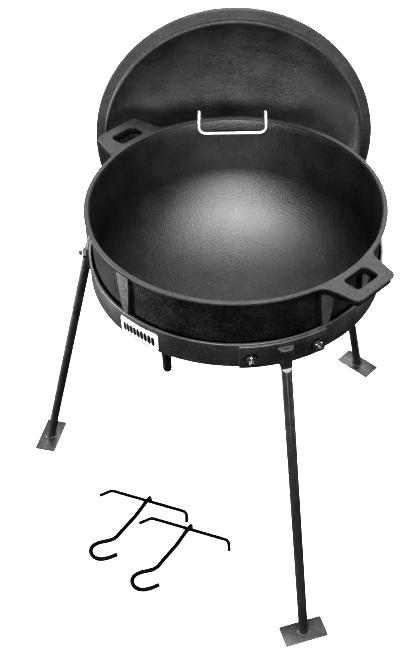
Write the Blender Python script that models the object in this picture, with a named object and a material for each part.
"""Round cast-iron pot on a three-legged ring stand, with its hanging lid and two lifting hooks.

Metres, +Z up, front towards -Y. The floor is z = 0. Every piece is placed about the ring's own
axis, and an empty then carries the whole kit so that its box is centred over the world origin.
Azimuths are degrees anticlockwise from +X, seen from above.
"""

from math import acos, atan2, cos, degrees, pi, radians, sin, sqrt, tan

import bmesh
import bpy
from mathutils import Matrix, Vector

# Ring stand
RING_RADIUS = 0.2667
RING_TOP = 0.6504
BAND_HEIGHT = 0.0508
BAND_WALL = 0.0048
LEDGE_RADIUS = 0.2530
LEDGE_WALL = 0.0040
GAP = 0.0003

LEG_AZIMUTHS = {"front": 287.4, "left": 167.4, "back": 47.4}
LEG_RADIUS = 0.00953
LEG_BOTTOM_REACH = 0.4355
LEG_TOP = RING_TOP - 0.0100
PRESS_WAIST = RING_TOP - 0.0340
PRESS_END = RING_TOP - 0.0510
TUBE_START = RING_TOP - 0.0545
PRESSED_TOP = (0.0310, 0.0185, 0.0125)
PRESSED_END = (0.0215, 0.0180, 0.0130)
PRESSED_CORNER = 0.0014
WELD_REACH = 0.0034
WELD_HEIGHT = 0.0050
FOOT_PLATE = (0.045, 0.088, 0.0045)
FOOT_CORNER = 0.0015

BRACKET_WALL = 0.005
BRACKET_HALF_ANGLE = 16.5
BRACKET_TOP = RING_TOP - 0.0010
BRACKET_BOTTOM = RING_TOP - 0.0500
BRACKET_FACE = RING_RADIUS + GAP + BRACKET_WALL

BOLT_RADIUS = 0.00476
BOLT_HALF_ANGLE = 12.3
BOLT_HEIGHT = RING_TOP - 0.0265
BOLT_HOLE = 0.0052
NUT_ACROSS_FLATS = 0.0160
NUT_HEIGHT = 0.0084
BOLT_BEYOND_NUT = 0.0078
BOLT_HEAD_RADIUS = 0.0095
BOLT_HEAD_HEIGHT = 0.0046

LABEL_AZIMUTHS = (222.6, 240.5)
LABEL_TOP = RING_TOP - 0.0098
LABEL_BOTTOM = RING_TOP - 0.0478
LABEL_THICKNESS = 0.0012
LABEL_CORNER = 0.0050

# Pot
RIM_TOP = RING_TOP + 0.0917
RIM_RADIUS = 0.2668
MOUTH_RADIUS = 0.2587
WALL_RADIUS = 0.2565
WALL_THICKNESS = 0.0060
WALL_FLARE = 0.0048
BOWL_SHOULDER = RING_TOP - 0.0133
BOWL_DEPTH = 0.1467
BOWL_STEPS = 9
HANDLE_AZIMUTHS = (315.0, 135.0)
HANDLE_ROOT_ANGLE = 13.0
HANDLE_TIP = (0.3240, 0.0467)
HANDLE_HOLE = (0.2720, 0.3048, 0.0267)
RIB_REACH = 0.2660
RIB_AZIMUTHS = (225.0, 45.0, 304.5, 325.5, 124.5, 145.5)
POT_FOOT_AZIMUTHS = (227.0, 347.0, 107.0)
POT_FOOT_REACH = 0.187
POT_FOOT_BOTTOM = RING_TOP - 0.195
POT_FOOT_RADII = (0.0085, 0.0115)

# Lid, in its own frame: the flange face is z = 0 and the dome rises along +Z
LID_RADIUS = 0.2747
LID_FLANGE = 0.0115
LID_LIP_OUTER = 0.2570
LID_LIP_INNER = 0.2520
LID_LIP_DROP = 0.0130
LID_DOME = 0.0600
LID_WALL = 0.0065
LID_STEPS = 7
LID_PLACE = (-0.0027, 0.3027, RING_TOP + 0.0097)
LID_TURN = (radians(-94.2), 0.0, radians(1.9))
LID_BOLT_SPREAD = 0.064
LID_BOLT_RADIUS = 0.004
LID_BOSS_RADIUS = 0.013
LID_BOLT_HEAD = (0.0150, 0.0055)
LID_NUT = (0.0127, 0.0068)
LID_HANDLE_STRAP = (0.026, 0.007)
LID_HANDLE_RISE = 0.040
LID_HANDLE_BEND = 0.009

# Hanger wire and lifting hooks
WIRE_RADIUS = 0.00245
HANGER_LEGS = (-0.0699, 0.0581)
HANGER_BAR_HEIGHT = RING_TOP + 0.0690
HANGER_BACK = 0.2790
HANGER_BENDS = (0.0080, 0.0060, 0.0046, 0.0046, 0.0125)
BAR_RADIUS = 0.00397
SHANK_RADIUS = 0.00476
HOOK_PLACES = {"a": (-0.1932, -0.0949, -19.6), "b": (-0.1023, -0.1694, -19.6)}
HOOK_BAR_CORNERS = {"left": -0.0858, "right": 0.0902}
HOOK_ENDS = {"left": (0.0283, 48.0), "right": (0.0250, 69.0)}
HOOK_BAR_BEND = 0.0150
HOOK_OFF_SQUARE = 15.0
HOOK_CROSSING = 0.0030
HOOK_STUB = 0.0050
HOOK_STEP_BENDS = (0.020, 0.030)
HOOK_CURL = (
    (0.0000, -0.1040), (0.0003, -0.1130), (-0.0035, -0.1245), (-0.0118, -0.1352), (-0.0210, -0.1462),
    (-0.0257, -0.1595), (-0.0218, -0.1717), (-0.0108, -0.1786), (0.0020, -0.1785), (0.0120, -0.1727),
    (0.0211, -0.1616), (0.0290, -0.1477))

SEGMENTS = 64

MATERIALS = {
    "cast_iron": ((0.045, 0.045, 0.047, 1.0), 0.62, 0.4),
    "stand_paint": ((0.030, 0.030, 0.032, 1.0), 0.45, 0.2),
    "bolt_steel": ((0.090, 0.090, 0.095, 1.0), 0.32, 0.9),
    "hook_steel": ((0.012, 0.012, 0.013, 1.0), 0.50, 0.3),
    "chrome": ((0.850, 0.850, 0.860, 1.0), 0.12, 1.0),
    "label": ((0.880, 0.880, 0.870, 1.0), 0.50, 0.0),
}


def clear_scene():
    for old in list(bpy.data.objects):
        bpy.data.objects.remove(old)


def finish_material(name):
    colour, roughness, metallic = MATERIALS[name]
    finish = bpy.data.materials.get(name) or bpy.data.materials.new(name)
    finish.use_nodes = True
    shader = finish.node_tree.nodes["Principled BSDF"]
    shader.inputs["Base Color"].default_value = colour
    shader.inputs["Roughness"].default_value = roughness
    shader.inputs["Metallic"].default_value = metallic
    return finish


def add_object(name, data, finish=None):
    """One named object, carried by the kit's empty unless it is only a tool for a Boolean."""
    piece = bpy.data.objects.new(name, data)
    bpy.context.collection.objects.link(piece)
    if finish:
        data.materials.append(finish_material(finish))
        piece.parent = bpy.data.objects["kit"]
    return piece


def mesh_from(bm, name, smooth_angle=32.0):
    bmesh.ops.recalc_face_normals(bm, faces=bm.faces)
    mesh = bpy.data.meshes.new(name)
    bm.to_mesh(mesh)
    bm.free()
    mesh.shade_smooth()
    mesh.set_sharp_from_angle(angle=radians(smooth_angle))
    return mesh


def polar(azimuth, reach, height):
    angle = radians(azimuth)
    return Vector((reach * cos(angle), reach * sin(angle), height))


def radial_frame(azimuth, reach, height):
    """A frame whose +X points away from the ring's axis at that azimuth, and +Z up."""
    return Matrix.Translation(polar(azimuth, reach, height)) @ Matrix.Rotation(radians(azimuth), 4, "Z")


def turned(name, profile, segments=SEGMENTS):
    """A closed profile of (radius, height) points turned about Z; it may meet the axis."""
    turns = [2 * pi * k / segments for k in range(segments)]
    bm = bmesh.new()
    rows = []
    for radius, height in profile:
        if radius == 0:
            rows.append([bm.verts.new((0, 0, height))] * segments)
        else:
            rows.append([bm.verts.new((radius * cos(t), radius * sin(t), height)) for t in turns])
    for upper, lower in zip(rows, rows[1:] + rows[:1]):
        for k in range(segments):
            after = (k + 1) % segments
            corners = list(dict.fromkeys([upper[k], upper[after], lower[after], lower[k]]))
            if len(corners) > 2:
                bm.faces.new(corners)
    return mesh_from(bm, name)


def lofted(name, sections):
    """A closed skin through equal-sized loops of points, capped at both ends."""
    bm = bmesh.new()
    loops = [[bm.verts.new(point) for point in section] for section in sections]
    count = len(loops[0])
    for first, second in zip(loops, loops[1:]):
        for k in range(count):
            after = (k + 1) % count
            bm.faces.new([first[k], first[after], second[after], second[k]])
    bm.faces.new(list(reversed(loops[0])))
    bm.faces.new(loops[-1])
    return mesh_from(bm, name)


def rectangle(width, length):
    x, y = width / 2, length / 2
    return [(-x, -y), (x, -y), (x, y), (-x, y)]


def regular(radius, sides):
    return [(radius * cos(2 * pi * k / sides), radius * sin(2 * pi * k / sides)) for k in range(sides)]


def rounded(corners, radius, steps=4):
    """A flat outline with each corner replaced by an arc of the given radius."""
    points = []
    for index, corner in enumerate(corners):
        here = Vector(corner)
        before = (here - Vector(corners[index - 1])).normalized()
        after = (Vector(corners[(index + 1) % len(corners)]) - here).normalized()
        points += fillet(here, before, after, radius, steps)
    return points


def fillet(corner, before, after, radius, steps):
    """Points of the arc that leads from direction `before` to direction `after` at a corner."""
    turn = before.angle(after)
    reach = radius * tan(turn / 2)
    start, end = corner - before * reach, corner + after * reach
    centre = corner + (after - before).normalized() * radius / cos(turn / 2)
    arms = start - centre, end - centre
    arc = []
    for k in range(steps + 1):
        share = k / steps
        blend = (arms[0] * sin((1 - share) * turn) + arms[1] * sin(share * turn)) / sin(turn)
        arc.append(centre + blend)
    return arc


def bent(corners, radii, steps=4):
    """An open route of straight runs joined by arcs, one radius for each inner corner."""
    points = [Vector(corners[0])]
    for first, corner, last, radius in zip(corners, corners[1:], corners[2:], radii):
        here = Vector(corner)
        before, after = (here - Vector(first)).normalized(), (Vector(last) - here).normalized()
        points += fillet(here, before, after, radius, steps)
    return points + [Vector(corners[-1])]


def prism(name, outline, bottom, top, place=None):
    loops = [[(point[0], point[1], level) for point in outline] for level in (bottom, top)]
    mesh = lofted(name, loops)
    if place:
        mesh.transform(place)
    return mesh


def cylinder(name, radius, bottom, top, place=None, sides=20):
    return prism(name, regular(radius, sides), bottom, top, place)


def combine(mesh, others, operation):
    """The mesh after one exact Boolean with each of the other meshes."""
    base = add_object("boolean_base", mesh)
    tools = [add_object("boolean_tool", other) for other in others]
    for tool in tools:
        step = base.modifiers.new("join", "BOOLEAN")
        step.operation = operation
        step.solver = "EXACT"
        step.object = tool
    ready = base.evaluated_get(bpy.context.evaluated_depsgraph_get())
    result = bpy.data.meshes.new_from_object(ready)
    for spent in [base] + tools:
        bpy.data.objects.remove(spent)
    return result


def rod(name, route, radius, finish):
    """A round rod or wire swept along a route of points."""
    curve = bpy.data.curves.new(name, "CURVE")
    curve.dimensions = "3D"
    curve.bevel_depth = radius
    curve.bevel_resolution = 2
    curve.use_fill_caps = True
    line = curve.splines.new("POLY")
    line.points.add(len(route) - 1)
    for point, place in zip(line.points, route):
        point.co = (*place, 1.0)
    return add_object(name, curve, finish)


def curved_plate(name, azimuths, inner, outer, bottom, top, steps):
    """A piece of rolled bar: an upright plate that follows the ring."""
    first, last = azimuths
    sections = []
    for k in range(steps + 1):
        azimuth = first + (last - first) * k / steps
        corners = ((inner, bottom), (outer, bottom), (outer, top), (inner, top))
        sections.append([polar(azimuth, reach, height) for reach, height in corners])
    return lofted(name, sections)


def bolt_azimuths(leg):
    return {"a": LEG_AZIMUTHS[leg] - BOLT_HALF_ANGLE, "b": LEG_AZIMUTHS[leg] + BOLT_HALF_ANGLE}


def outward(azimuth, reach=0.0):
    """Turns a piece modelled along +Z so that it points away from the ring at a bolt."""
    lay_down = Matrix.Rotation(pi / 2, 4, "Y")
    return radial_frame(azimuth, reach, BOLT_HEIGHT) @ lay_down


def bolt_holes(leg):
    low, high = RING_RADIUS - 0.02, RING_RADIUS + 0.02
    return [cylinder("hole", BOLT_HOLE, low, high, outward(a), 16) for a in bolt_azimuths(leg).values()]


def build_ring():
    """A hoop of rolled bar with a narrow ledge inside its lower edge."""
    inner = RING_RADIUS - BAND_WALL
    low = RING_TOP - BAND_HEIGHT
    ease = 0.0006
    profile = [
        (inner, RING_TOP - ease),
        (inner + ease, RING_TOP),
        (RING_RADIUS - ease, RING_TOP),
        (RING_RADIUS, RING_TOP - ease),
        (RING_RADIUS, low),
        (LEDGE_RADIUS, low),
        (LEDGE_RADIUS, low + LEDGE_WALL),
        (inner, low + LEDGE_WALL),
    ]
    holes = [hole for leg in LEG_AZIMUTHS for hole in bolt_holes(leg)]
    add_object("stand_ring", combine(turned("stand_ring", profile), holes, "DIFFERENCE"), "stand_paint")


def build_bracket(leg):
    middle = LEG_AZIMUTHS[leg]
    name = f"leg_bracket_{leg}"
    ends = (middle - BRACKET_HALF_ANGLE, middle + BRACKET_HALF_ANGLE)
    plate = curved_plate(name, ends, RING_RADIUS + GAP, BRACKET_FACE, BRACKET_BOTTOM, BRACKET_TOP, 14)
    add_object(name, combine(plate, bolt_holes(leg), "DIFFERENCE"), "stand_paint")


def pressed_section(back, front, depth, sides):
    """The tube pressed against the bracket: wide at the back, narrower and rounded in front."""
    corners = [(0, -back / 2), (depth, -front / 2), (depth, front / 2), (0, back / 2)]
    return spread_evenly(rounded(corners, PRESSED_CORNER), sides)


def spread_evenly(outline, count):
    """The same closed outline as `count` points, one in each equal step of angle about its middle."""
    middle = sum(outline, Vector((0, 0))) / len(outline)
    points = []
    for k in range(count):
        ray = Vector((cos(2 * pi * k / count), sin(2 * pi * k / count)))
        points.append(middle + ray * distance_to_edge(outline, middle, ray))
    return points


def distance_to_edge(outline, middle, ray):
    far = 0.0
    for first, second in zip(outline, outline[1:] + outline[:1]):
        edge, start = second - first, first - middle
        across = ray.x * edge.y - ray.y * edge.x
        if abs(across) < 1e-12:
            continue
        along = (start.x * ray.y - start.y * ray.x) / across
        if -1e-9 <= along <= 1 + 1e-9:
            far = max(far, (start.x * edge.y - start.y * edge.x) / across)
    return far


def round_section(radius, reach, sides):
    turns = [2 * pi * k / sides for k in range(sides)]
    return [Vector((reach + radius * cos(t), radius * sin(t))) for t in turns]


def leg_sections(start):
    """The tube's outlines from its pressed top down to the bead of weld on its foot plate."""
    sides = 24
    plate_top = FOOT_PLATE[2] + GAP
    tube_reach = start + LEG_RADIUS
    splay = (LEG_BOTTOM_REACH - tube_reach) / (TUBE_START - plate_top)
    flat = pressed_section(*PRESSED_TOP, sides)
    narrow = pressed_section(*PRESSED_END, sides)
    levels = [(LEG_TOP, flat, start), (PRESS_WAIST, flat, start), (PRESS_END, narrow, start)]
    for radius, height in (
        (LEG_RADIUS, TUBE_START),
        (LEG_RADIUS, plate_top + WELD_HEIGHT),
        (LEG_RADIUS + 0.0012, plate_top + 0.0028),
        (LEG_RADIUS + WELD_REACH, plate_top),
    ):
        reach = tube_reach + splay * (TUBE_START - height)
        levels.append((height, round_section(radius, 0.0, sides), reach))
    sections = []
    for height, outline, reach in levels:
        sections.append([(point.x + reach, point.y, height) for point in outline])
    return sections, flat


def build_leg(leg):
    """A round tube whose upper end is pressed flat and stands against its bracket."""
    start = BRACKET_FACE + GAP
    sections, flat = leg_sections(start)
    middle = PRESSED_TOP[2] / 2
    inside = [(start + middle + (x - middle) * 0.30, y * 0.62) for x, y in flat]
    recess = prism("recess", inside, LEG_TOP - 0.008, LEG_TOP + 0.01)
    mesh = combine(lofted(f"leg_{leg}", sections), [recess], "DIFFERENCE")
    mesh.transform(Matrix.Rotation(radians(LEG_AZIMUTHS[leg]), 4, "Z"))
    add_object(f"leg_{leg}", mesh, "stand_paint")


def build_foot_plate(leg):
    width, length, thickness = FOOT_PLATE
    corners = rectangle(width, length)
    place = radial_frame(LEG_AZIMUTHS[leg], LEG_BOTTOM_REACH, 0)
    name = f"foot_plate_{leg}"
    add_object(name, prism(name, rounded(corners, FOOT_CORNER, 2), 0, thickness, place), "stand_paint")


def bolt_profile(seat, end):
    """A low domed head whose underside is at `seat`, and a shank to `end` with its point eased."""
    return [
        (0, seat - BOLT_HEAD_HEIGHT),
        (0.0045, seat - 0.0041),
        (0.0080, seat - 0.0024),
        (BOLT_HEAD_RADIUS, seat),
        (BOLT_RADIUS, seat),
        (BOLT_RADIUS, end - 0.0013),
        (BOLT_RADIUS - 0.0012, end),
        (0, end),
    ]


def build_bolts(leg):
    """Round-headed bolts put through from inside the ring, each with a hex nut outside."""
    seat = sqrt((RING_RADIUS - BAND_WALL) ** 2 - 0.010**2) - GAP
    nut_seat = BRACKET_FACE + GAP
    for mark, azimuth in bolt_azimuths(leg).items():
        bolt = turned("bolt", bolt_profile(seat, nut_seat + NUT_HEIGHT + BOLT_BEYOND_NUT), 16)
        bolt.transform(outward(azimuth))
        add_object(f"bracket_bolt_{leg}_{mark}", bolt, "bolt_steel")
        nut = hex_nut(NUT_ACROSS_FLATS, NUT_HEIGHT, BOLT_RADIUS + GAP)
        nut.transform(outward(azimuth, nut_seat))
        add_object(f"bracket_nut_{leg}_{mark}", nut, "bolt_steel")


def hex_nut(across_flats, height, bore):
    """A hex nut standing on z = 0, its upper corners turned off, with a plain bore."""
    corner = across_flats / sqrt(3)
    block = prism("nut", regular(corner, 6), 0, height)
    flat = across_flats / 2
    turning = [
        (0, -0.001),
        (corner * 1.02, -0.001),
        (corner * 1.02, height - 0.0016),
        (flat * 0.96, height),
        (0, height),
    ]
    block = combine(block, [turned("turning", turning, 24)], "INTERSECT")
    return combine(block, [cylinder("bore", bore, -0.01, height + 0.01, sides=16)], "DIFFERENCE")


def build_label():
    """A thin blank plate on the ring's face, bent to it, with rounded corners."""
    inner = RING_RADIUS + GAP
    outer = inner + LABEL_THICKNESS
    first, last = LABEL_AZIMUTHS
    corner = LABEL_CORNER
    steps = 18
    sections = []
    for k in range(steps + 1):
        azimuth = first + (last - first) * (0.5 - 0.5 * cos(pi * k / steps))
        edge = min(azimuth - first, last - azimuth)
        into = min(radians(edge) * inner, corner)
        trim = corner - sqrt(corner**2 - (corner - into) ** 2) if into < corner else 0
        trim = min(trim, corner * 0.9)
        low, high = LABEL_BOTTOM + trim, LABEL_TOP - trim
        points = ((inner, low), (outer, low), (outer, high), (inner, high))
        sections.append([polar(azimuth, reach, height) for reach, height in points])
    add_object("label_plate", lofted("label_plate", sections), "label")


def bowl_arc(radius, depth):
    """The lower half of the bowl from its shoulder to the axis, a half ellipse."""
    angles = [pi / 2 * k / BOWL_STEPS for k in range(BOWL_STEPS + 1)]
    arc = [(radius * cos(a), BOWL_SHOULDER - depth * sin(a)) for a in angles]
    arc[-1] = (0, BOWL_SHOULDER - depth)
    return arc


def pot_profile():
    inner_wall = WALL_RADIUS - WALL_THICKNESS
    outside = [
        (MOUTH_RADIUS, RIM_TOP - 0.0004),
        (MOUTH_RADIUS + 0.0008, RIM_TOP),
        (RIM_RADIUS - 0.0012, RIM_TOP),
        (RIM_RADIUS, RIM_TOP - 0.0012),
        (RIM_RADIUS, RIM_TOP - 0.0038),
        (RIM_RADIUS - 0.0030, RIM_TOP - 0.0046),
        (RIM_RADIUS - 0.0036, RIM_TOP - 0.0120),
        (RIM_RADIUS - 0.0056, RIM_TOP - 0.0136),
    ]
    inside = bowl_arc(inner_wall, BOWL_DEPTH - WALL_THICKNESS)[::-1]
    lip = [(inner_wall + WALL_FLARE, RIM_TOP - 0.018), (MOUTH_RADIUS - 0.0018, RIM_TOP - 0.0060)]
    return outside + bowl_arc(WALL_RADIUS, BOWL_DEPTH), inside + lip


def handle_outline(inset, root):
    """A trapezium that flares into the rim, in a radial frame whose +X points outward."""
    tip_reach, tip_half = HANDLE_TIP[0] - inset, HANDLE_TIP[1] - inset
    foot = polar(HANDLE_ROOT_ANGLE, RIM_RADIUS - inset, 0).to_2d()
    along_rim = Vector((foot.y, -foot.x)).normalized()
    tip = Vector((tip_reach, tip_half))
    outward_edge = (tip - foot).normalized()
    side = fillet(foot, along_rim, outward_edge, 0.020, 4)
    side += fillet(tip, outward_edge, Vector((0, -1)), 0.0115, 5)
    mirrored = [Vector((point.x, -point.y)) for point in reversed(side)]
    spread = degrees(atan2(side[0].y, side[0].x))
    inner = [polar(-spread + spread * k / 4, root, 0).to_2d() for k in range(9)]
    return side + mirrored + inner


def handle_pieces(azimuth):
    """A thin top plate over a slightly smaller body, as the rim has over the wall."""
    turn = Matrix.Rotation(radians(azimuth), 4, "Z")
    plate = prism("plate", handle_outline(0, 0.2625), RIM_TOP - 0.0042, RIM_TOP - 0.0002, turn)
    body = prism("body", handle_outline(0.0028, 0.2588), RIM_TOP - 0.0165, RIM_TOP - 0.0040, turn)
    return [plate, body]


def handle_hole(azimuth):
    low, high, half = HANDLE_HOLE
    corners = [(low, -half), (high, -half), (high, half), (low, half)]
    turn = Matrix.Rotation(radians(azimuth), 4, "Z")
    return prism("hole", rounded(corners, 0.0085, 5), RIM_TOP - 0.03, RIM_TOP + 0.01, turn)


def rib(azimuth):
    """A cast rib that narrows downward and carries the pot on the ring's upper edge."""
    low, high = RING_TOP + GAP, RIM_TOP - 0.0060
    middle = high - 0.020
    sections = []
    for height, half, inner in ((low, 0.0068, 0.2530), (middle, 0.0128, 0.2566), (high, 0.0150, 0.2590)):
        corners = ((inner, -half), (RIB_REACH, -half), (RIB_REACH, half), (inner, half))
        sections.append([(x, y, height) for x, y in corners])
    mesh = lofted("rib", sections)
    mesh.transform(Matrix.Rotation(radians(azimuth), 4, "Z"))
    return mesh


def mid_wall(radius):
    """Height of the middle of the bowl's wall at a radius."""
    half = WALL_THICKNESS / 2
    return BOWL_SHOULDER - (BOWL_DEPTH - half) * sqrt(1 - (radius / (WALL_RADIUS - half)) ** 2)


def pot_foot(azimuth):
    """A short tapered peg with a round end, its upper end buried in the bowl's wall."""
    sides = 16
    end, root = POT_FOOT_RADII
    middle = polar(azimuth, POT_FOOT_REACH, 0)
    turns = [2 * pi * k / sides for k in range(sides)]
    levels = [(end * sin(a), POT_FOOT_BOTTOM + end * (1 - cos(a))) for a in (0.35, 0.75, 1.15, pi / 2)]
    sections = []
    for radius, height in levels:
        sections.append([middle + Vector((radius * cos(t), radius * sin(t), height)) for t in turns])
    buried = [middle + Vector((root * cos(t), root * sin(t), 0)) for t in turns]
    sections.append([Vector((point.x, point.y, mid_wall(point.length))) for point in buried])
    return lofted("foot", sections)


def build_pot():
    outside, inside = pot_profile()
    pieces = [piece for azimuth in HANDLE_AZIMUTHS for piece in handle_pieces(azimuth)]
    pieces += [rib(azimuth) for azimuth in RIB_AZIMUTHS]
    pieces += [pot_foot(azimuth) for azimuth in POT_FOOT_AZIMUTHS]
    whole = combine(turned("pot", outside + inside), pieces, "UNION")
    holes = [handle_hole(azimuth) for azimuth in HANDLE_AZIMUTHS]
    whole = combine(whole, holes, "DIFFERENCE")
    whole.shade_smooth()
    whole.set_sharp_from_angle(angle=radians(32))
    add_object("pot", whole, "cast_iron")


def lid_outside():
    """From the middle of the dome out to the flange, round it and down the locating lip."""
    reach = LID_LIP_OUTER + 0.004
    arc = []
    for k in range(1, LID_STEPS):
        a = pi / 2 * k / LID_STEPS
        arc.append((reach * sin(a), LID_FLANGE + (LID_DOME + LID_WALL - LID_FLANGE) * cos(a)))
    return [(0, LID_DOME + LID_WALL)] + arc + [
        (reach, LID_FLANGE),
        (LID_RADIUS - 0.0015, LID_FLANGE),
        (LID_RADIUS, LID_FLANGE - 0.0015),
        (LID_RADIUS, 0.0012),
        (LID_RADIUS - 0.0012, 0),
        (LID_LIP_OUTER, 0),
        (LID_LIP_OUTER, -LID_LIP_DROP + 0.001),
        (LID_LIP_OUTER - 0.001, -LID_LIP_DROP),
        (LID_LIP_INNER + 0.001, -LID_LIP_DROP),
        (LID_LIP_INNER, -LID_LIP_DROP + 0.001),
        (LID_LIP_INNER, 0),
    ]


def lid_inside():
    arc = []
    for k in range(1, LID_STEPS):
        a = pi / 2 * k / LID_STEPS
        arc.append((LID_LIP_INNER * cos(a), LID_DOME * sin(a)))
    return arc + [(0, LID_DOME)]


def lid_place():
    """Hangs the lid behind the pot, its dome facing away and its lower edge swung towards the pot."""
    lean = Matrix.Rotation(LID_TURN[0], 4, "X")
    swing = Matrix.Rotation(LID_TURN[2], 4, "Z")
    return Matrix.Translation(LID_PLACE) @ swing @ lean


def boss_levels():
    """Heights of the inner and outer seats of the bosses that take the handle's bolts."""
    fall = sqrt(1 - (LID_BOLT_SPREAD / LID_LIP_INNER) ** 2)
    return LID_DOME * fall - 0.003, (LID_DOME + LID_WALL) * fall + 0.006


def build_lid():
    place = lid_place()
    shell = turned("lid", lid_outside() + lid_inside())
    inner, outer = boss_levels()
    spots = [Matrix.Translation((side * LID_BOLT_SPREAD, 0, 0)) for side in (-1, 1)]
    bosses = [cylinder("boss", LID_BOSS_RADIUS, inner, outer, spot, 24) for spot in spots]
    holes = [cylinder("hole", LID_BOLT_RADIUS + GAP, -0.02, 0.1, spot, 16) for spot in spots]
    lid = combine(combine(shell, bosses, "UNION"), holes, "DIFFERENCE")
    lid.shade_smooth()
    lid.set_sharp_from_angle(angle=radians(32))
    lid.transform(place)
    add_object("lid", lid, "cast_iron")


def lid_handle_line(low):
    """The strap's underside: a foot on each boss and a raised grip between."""
    out, shoulder = LID_BOLT_SPREAD + 0.013, LID_BOLT_SPREAD - 0.014
    grip = shoulder - 0.012
    high = low + LID_HANDLE_RISE
    line = ((-out, low), (-shoulder, low), (-grip, high), (grip, high), (shoulder, low), (out, low))
    return bent([(x, 0, z) for x, z in line], (LID_HANDLE_BEND,) * 4)


def build_lid_handle():
    """A strap handle across the dome, on the two bosses."""
    place = lid_place()
    _, seat = boss_levels()
    width, thickness = LID_HANDLE_STRAP
    low = seat + GAP
    lower = lid_handle_line(low)
    edge = Vector((0, width / 2, 0))
    sections = []
    for index, point in enumerate(lower):
        before = lower[max(index - 1, 0)]
        after = lower[min(index + 1, len(lower) - 1)]
        along = (after - before).normalized()
        above = point + Vector((-along.z, 0, along.x)) * thickness
        sections.append([point - edge, point + edge, above + edge, above - edge])
    spots = [Matrix.Translation((side * LID_BOLT_SPREAD, 0, 0)) for side in (-1, 1)]
    holes = [cylinder("hole", LID_BOLT_RADIUS + GAP, 0, 0.15, spot, 16) for spot in spots]
    strap = combine(lofted("lid_handle", sections), holes, "DIFFERENCE")
    strap.transform(place)
    add_object("lid_handle", strap, "cast_iron")
    build_lid_bolts(place, low + thickness)


def build_lid_bolts(place, head_seat):
    """Bolts from the handle's side, with their nuts inside the dome, over the hanger's eyes."""
    inner, _ = boss_levels()
    nut_top = inner - 2 * WIRE_RADIUS - 2 * GAP
    across, head_top = LID_BOLT_HEAD
    for mark, side in (("a", -1), ("b", 1)):
        spot = place @ Matrix.Translation((side * LID_BOLT_SPREAD, 0, 0))
        head = prism("head", regular(across / 2, 6), head_seat + GAP, head_seat + head_top)
        shank = cylinder("shank", LID_BOLT_RADIUS, nut_top - 0.0105, head_seat + 0.002, sides=16)
        bolt = combine(head, [shank], "UNION")
        bolt.transform(spot)
        add_object(f"lid_handle_bolt_{mark}", bolt, "bolt_steel")
        nut = hex_nut(*LID_NUT, LID_BOLT_RADIUS + GAP)
        nut.transform(spot @ Matrix.Translation((0, 0, nut_top)) @ Matrix.Rotation(pi, 4, "X"))
        add_object(f"lid_handle_nut_{mark}", nut, "bolt_steel")


def bar_corner(reach):
    """Where a leg of the hanger meets its bar, just clear of the pot's inner wall."""
    wall = WALL_RADIUS - WALL_THICKNESS + WALL_FLARE
    return Vector((reach, sqrt(wall**2 - reach**2) - WIRE_RADIUS - 0.0014, HANGER_BAR_HEIGHT))


def hanger_half(side, reach, opposite):
    """Half of the hanger: from the eye on a lid bolt, up and over the pot's rim, to the bar."""
    place = lid_place()
    inner, _ = boss_levels()
    level = inner - GAP - WIRE_RADIUS
    eye = LID_BOLT_RADIUS + GAP + WIRE_RADIUS
    turns = [radians(-250 + 250 * k / 12) for k in range(13)]
    ring = [Vector((side * (LID_BOLT_SPREAD - eye * cos(t)), -eye * sin(t), level)) for t in turns]
    route = [place @ point for point in ring]
    over = RIM_TOP + WIRE_RADIUS + GAP + 0.0005
    bar_end = bar_corner(reach)
    corners = [
        route[-1],
        place @ Vector((side * (LID_BOLT_SPREAD - eye), -0.0160, level)),
        (reach, HANGER_BACK + 0.0020, RIM_TOP - 0.0140),
        (reach, HANGER_BACK, over),
        (reach, bar_end.y, over),
        bar_end,
        bar_corner(opposite),
    ]
    return route[:-1] + bent(corners, HANGER_BENDS)[:-1]


def build_hanger():
    left, right = HANGER_LEGS
    route = hanger_half(-1, left, right) + hanger_half(1, right, left)[::-1]
    rod("lid_hanger", route, WIRE_RADIUS, "chrome")


def build_hook(mark):
    x, y, angle = HOOK_PLACES[mark]
    place = Matrix.Translation((x, y, 0)) @ Matrix.Rotation(radians(angle), 4, "Z")
    lean = Matrix.Translation((HOOK_CROSSING, 0, 0)) @ Matrix.Rotation(radians(-HOOK_OFF_SQUARE), 4, "Z")
    bar = [place @ point for point in hook_bar_route()]
    shank = [place @ lean @ point for point in hook_shank_route()]
    rod(f"hook_{mark}_bar", bar, BAR_RADIUS, "hook_steel")
    rod(f"hook_{mark}_shank", shank, SHANK_RADIUS, "hook_steel")


def hook_bar_tip(side):
    length, angle = HOOK_ENDS[side]
    out = length * cos(radians(angle))
    corner = HOOK_BAR_CORNERS[side]
    return Vector((corner + out if side == "right" else corner - out, -length * sin(radians(angle)), BAR_RADIUS))


def hook_bar_route():
    """The T handle: a straight grip with both ends bent towards the hook."""
    grip = [(HOOK_BAR_CORNERS[side], 0, BAR_RADIUS) for side in ("left", "right")]
    return bent([hook_bar_tip("left")] + grip + [hook_bar_tip("right")], (HOOK_BAR_BEND, HOOK_BAR_BEND), 5)


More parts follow.
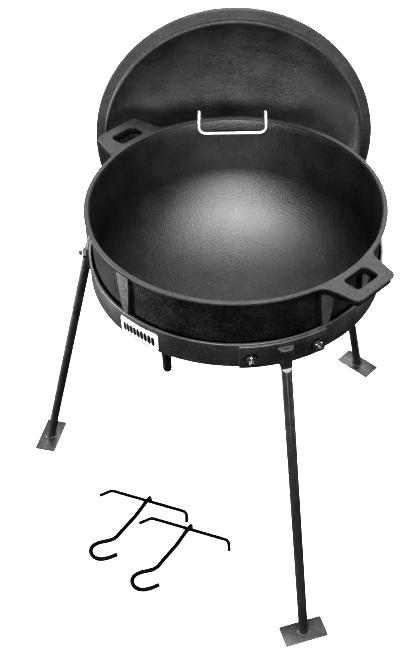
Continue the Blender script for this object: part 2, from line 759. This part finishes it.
def between(before, start, end, after, share):
    """A point on the smooth curve that leads from start to end."""
    bend = 2 * before - 5 * start + 4 * end - after
    turn = 3 * start - before - 3 * end + after
    return 0.5 * (2 * start + (end - before) * share + bend * share ** 2 + turn * share ** 3)


def smooth(points, steps):
    """A route through every point, rounded between them."""
    ends = [2 * points[0] - points[1]] + points + [2 * points[-1] - points[-2]]
    route = []
    for four in zip(ends, ends[1:], ends[2:], ends[3:]):
        route += [between(*four, k / steps) for k in range(steps)]
    return route + [points[-1]]


def hook_shank_route():
    """The shank crosses over the bar, comes down to the floor and curls into an open hook."""
    above = BAR_RADIUS * 2 + GAP + SHANK_RADIUS
    curl = [Vector((x, y, SHANK_RADIUS)) for x, y in HOOK_CURL]
    start = [(0, HOOK_STUB, above), (0, -0.012, above), (0, -0.048, SHANK_RADIUS), curl[0]]
    return bent(start, HOOK_STEP_BENDS)[:-1] + smooth(curl, 3)


def kit_box():
    bpy.context.view_layer.update()
    depsgraph = bpy.context.evaluated_depsgraph_get()
    points = []
    for piece in bpy.data.objects:
        if piece.type in {"MESH", "CURVE"}:
            ready = piece.evaluated_get(depsgraph)
            points += [ready.matrix_world @ vertex.co for vertex in ready.to_mesh().vertices]
    low = Vector([min(point[axis] for point in points) for axis in range(3)])
    high = Vector([max(point[axis] for point in points) for axis in range(3)])
    return low, high


def centre_kit():
    """Puts the middle of the kit's box over the origin and its lowest point on the floor."""
    low, high = kit_box()
    shift = Vector((-(low.x + high.x) / 2, -(low.y + high.y) / 2, -low.z))
    bpy.data.objects["kit"].location = shift
    print("ring axis at", round(shift.x, 5), round(shift.y, 5), "size", [round(v, 4) for v in high - low])


def main():
    clear_scene()
    kit = bpy.data.objects.new("kit", None)
    bpy.context.collection.objects.link(kit)
    build_ring()
    for leg in LEG_AZIMUTHS:
        build_bracket(leg)
        build_leg(leg)
        build_foot_plate(leg)
        build_bolts(leg)
    build_label()
    build_pot()
    build_lid()
    build_lid_handle()
    build_hanger()
    for mark in HOOK_PLACES:
        build_hook(mark)
    centre_kit()


main()
